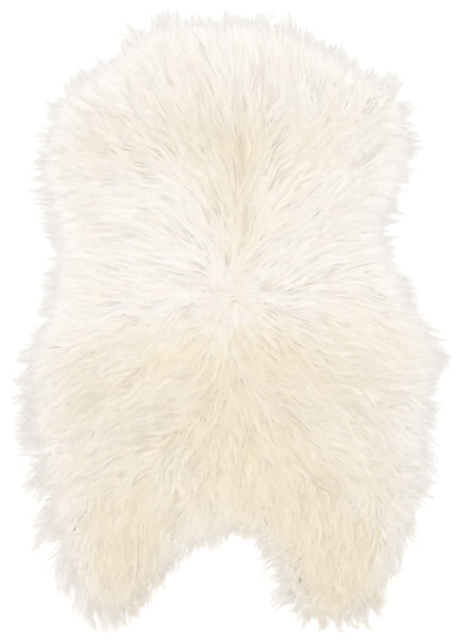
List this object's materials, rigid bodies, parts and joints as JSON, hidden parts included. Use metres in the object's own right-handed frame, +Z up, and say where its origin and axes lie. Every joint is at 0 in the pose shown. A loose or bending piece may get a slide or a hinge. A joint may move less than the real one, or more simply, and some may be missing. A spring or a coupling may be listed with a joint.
{
  "type": "icelandic sheepskin",
  "caption": "Long-wool sheepskin rug lying flat: a thin tanned skin under a lumpy cream fleece that parts along the back and ends in loose locks around its rim.",
  "frame": {"origin": "on the floor, under the middle of the whole sheepskin's box", "axes": "+Z up out of the wool, +Y towards the neck end, -Y towards the two hind legs"},
  "size_m": [0.7384, 1.0572, 0.0677],
  "materials": {
    "hide": "matt suede, the flesh side of the tanned skin",
    "wool": "soft ivory wool, a little glossy along its locks"
  },
  "bodies": {
    "root": {"skin": "hide", "fleece": "wool"}
  },
  "joints": []
}
